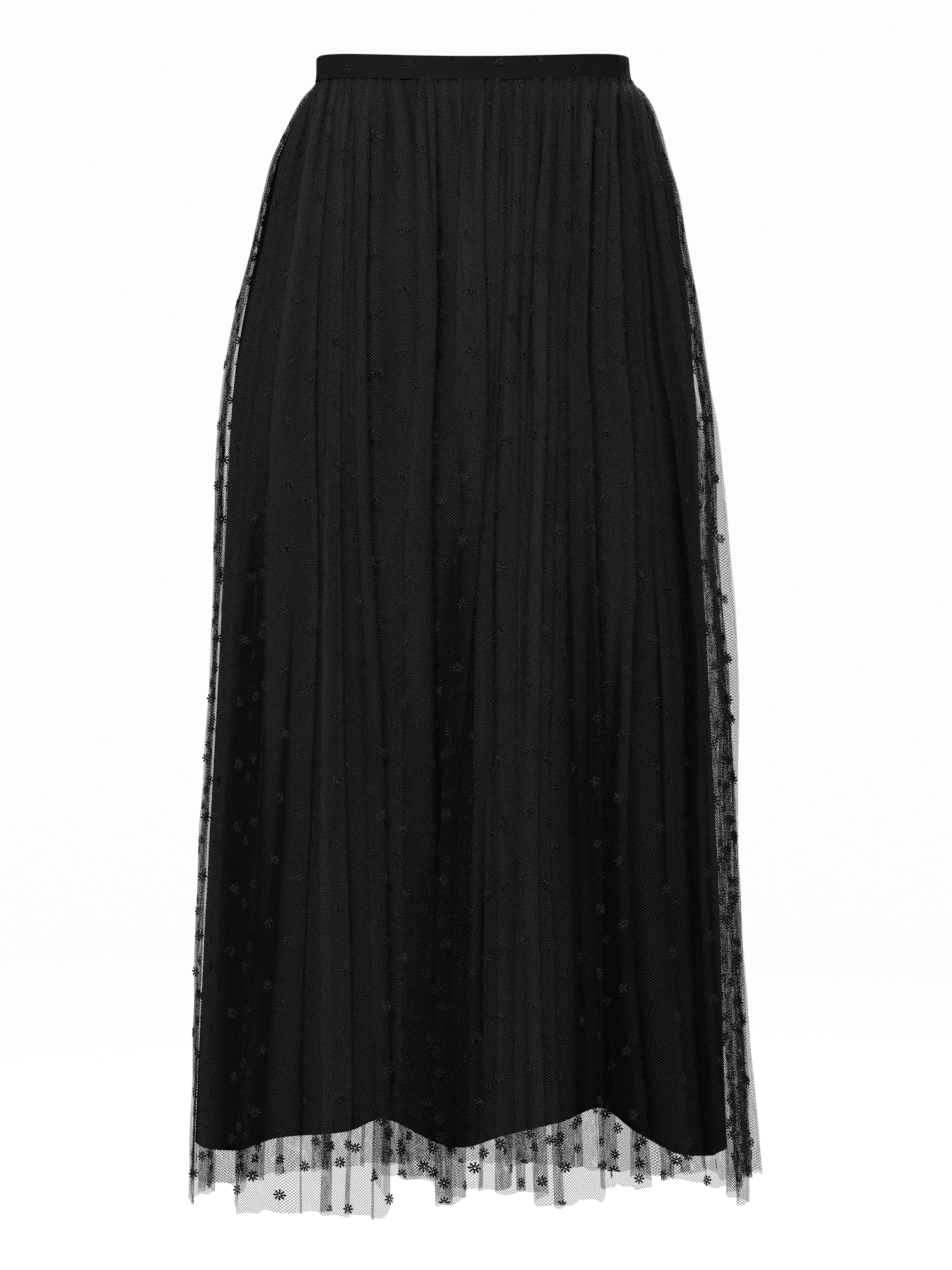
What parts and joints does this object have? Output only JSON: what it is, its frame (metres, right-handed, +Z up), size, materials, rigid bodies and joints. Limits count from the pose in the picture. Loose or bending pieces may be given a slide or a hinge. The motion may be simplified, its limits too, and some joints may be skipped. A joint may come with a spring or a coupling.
{
  "type": "tulle skirt",
  "caption": "Midi skirt of sheer embroidered net, gathered onto a narrow waistband over an opaque flared lining, with a concealed centre-back zip; hollow, as if worn.",
  "frame": {"origin": "middle of the waist opening, at half the height of the waistband's side seams, where the wearer holds the skirt up", "axes": "+Z up, from hem to waist; -Y towards the skirt's front; +X towards the wearer's left"},
  "size_m": [0.46, 0.3813, 0.8871],
  "materials": {
    "band": "matt black cloth under fine net",
    "tulle": "fine black diamond net with small embroidered daisies",
    "lining": "matt opaque black cloth",
    "zip_metal": "black lacquered metal"
  },
  "bodies": {
    "skirt": {"waistband_front": "band", "waistband_back_left": "band", "waistband_back_right": "band", "tulle_front": "tulle", "tulle_back_left": "tulle", "tulle_back_right": "tulle", "lining_front": "lining", "lining_back_left": "lining", "lining_back_right": "lining", "zip_slider": "zip_metal"},
    "pull_tab": {"zip_pull": "zip_metal"}
  },
  "joints": [
    {"name": "pull_tab_swing", "type": "hinge", "parent": "skirt", "child": "pull_tab", "pos_m": [0, 0.09349, 0.00595], "axis": [1, 0, 0], "range_deg": [-10, 150]}
  ]
}
